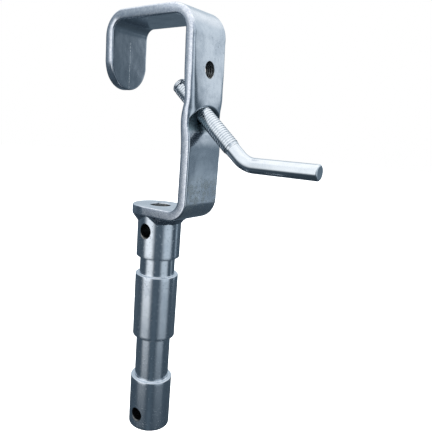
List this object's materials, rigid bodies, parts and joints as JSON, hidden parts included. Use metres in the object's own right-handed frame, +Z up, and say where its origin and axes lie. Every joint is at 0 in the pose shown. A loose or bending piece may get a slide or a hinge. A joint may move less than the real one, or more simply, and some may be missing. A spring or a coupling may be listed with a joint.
{
  "type": "pipe clamp",
  "caption": "Flat-bar hook clamp for a rigging pipe, with an L-bent clamping bolt and a grooved round spigot welded below its foot.",
  "frame": {"origin": "middle of the flat inner face of the hook's top, the face that rests on the pipe", "axes": "+Z up, away from the pipe; +X from the hook's lip to its leg and the bolt's handle; +Y across the bar's width, along the pipe"},
  "size_m": [0.1389, 0.032, 0.269],
  "materials": {
    "zinc_plate": "bright blue-white zinc plating on rolled flat bar, lightly mottled, with small pits on its edges",
    "zinc_turned": "bright zinc plating on a turned bar, with fine turned lines",
    "zinc_bolt": "bright zinc plating on a smooth drawn rod with a rolled thread",
    "zinc_weld": "zinc plating over a rippled fillet weld, darker than the bar"
  },
  "bodies": {
    "frame": {"hook_bar": "zinc_plate", "spigot": "zinc_turned", "weld_bead_left": "zinc_weld", "weld_bead_right": "zinc_weld"},
    "bolt_point": {"bolt_tip": "zinc_bolt"},
    "clamp_screw": {"clamp_bolt": "zinc_bolt"}
  },
  "joints": [
    {"name": "clamp_travel", "type": "slide", "parent": "frame", "child": "bolt_point", "axis": [-0.7581, 0, 0.6521], "range_m": [-0.015, 0.024]},
    {"name": "clamp_turn", "type": "hinge", "parent": "bolt_point", "child": "clamp_screw", "pos_m": [0.0396, 0, -0.05795], "axis": [-0.7581, 0, 0.6521], "range_deg": [-3600, 5760]}
  ],
  "couplings": [
    {"joint": "clamp_travel", "follows": "clamp_turn", "m_per_rad": 0.00023873}
  ]
}
